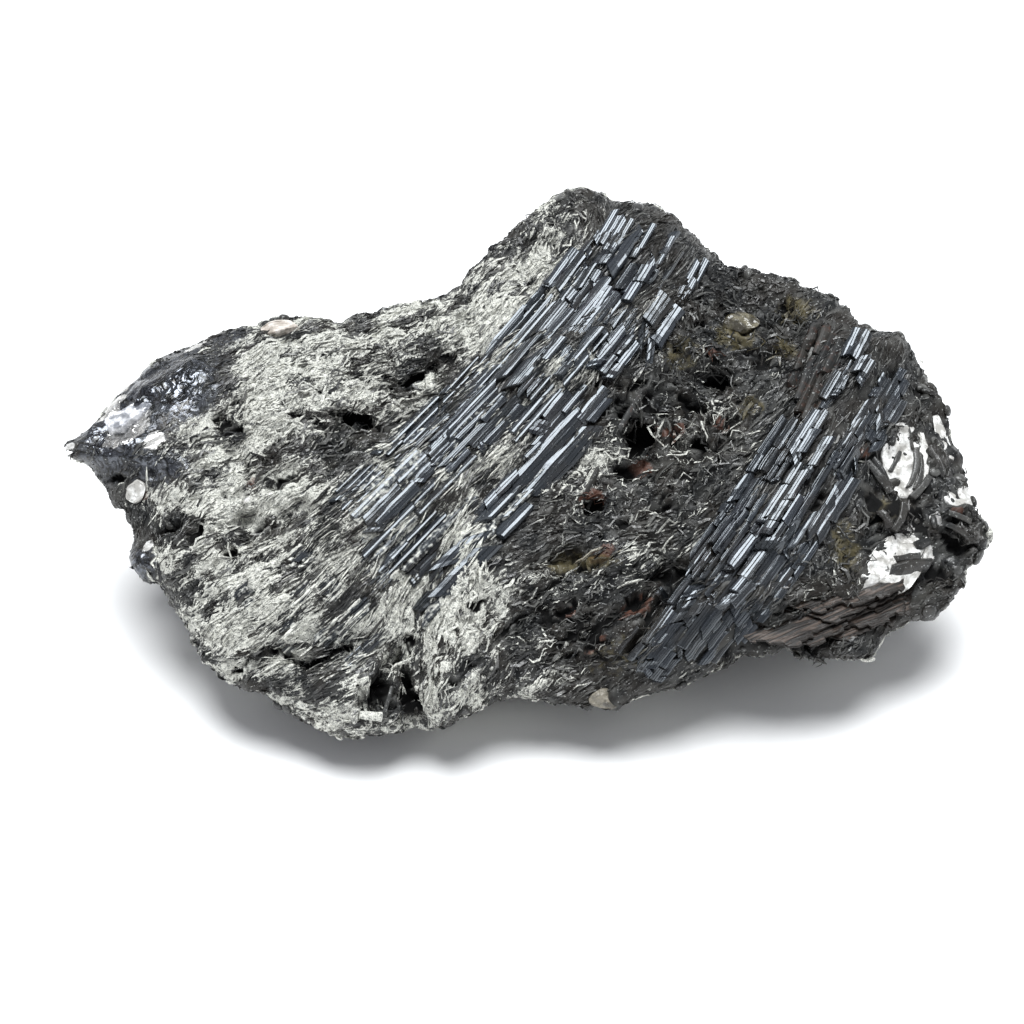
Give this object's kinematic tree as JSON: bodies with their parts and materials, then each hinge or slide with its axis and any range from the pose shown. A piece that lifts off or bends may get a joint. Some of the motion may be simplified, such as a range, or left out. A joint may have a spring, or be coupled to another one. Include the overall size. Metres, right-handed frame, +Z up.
{
  "type": "black tourmaline specimen",
  "caption": "Rough lump of black tourmaline with ridges of parallel ribbed prisms, matted needles, grains of white quartz and a stepped ledge of brown mica; rests on a flat base.",
  "frame": {"origin": "on the ground, under the middle of the stone's bounding box", "axes": "+X along the stone's length, with the pointed end at -X; +Y to its high back edge; +Z up"},
  "size_m": [0.0984, 0.0666, 0.0352],
  "materials": {
    "schorl": "black to charcoal, glassy on prism faces, dull and dusted with pale grey-green between them",
    "quartz": "milky white, waxy",
    "feldspar": "pale pinkish cream, waxy",
    "golden_mica": "olive gold, pearly",
    "brown_mica": "taupe brown, matt"
  },
  "bodies": {
    "root": {"schorl_mass": "schorl", "mica_ledge": "brown_mica", "golden_mica": "golden_mica", "quartz_upper_right": "quartz", "quartz_lower_right": "quartz", "quartz_right_edge": "quartz", "quartz_right_corner": "quartz", "quartz_beak": "quartz", "quartz_left_notch": "quartz", "feldspar_crest": "feldspar", "feldspar_foot": "feldspar"}
  },
  "joints": []
}
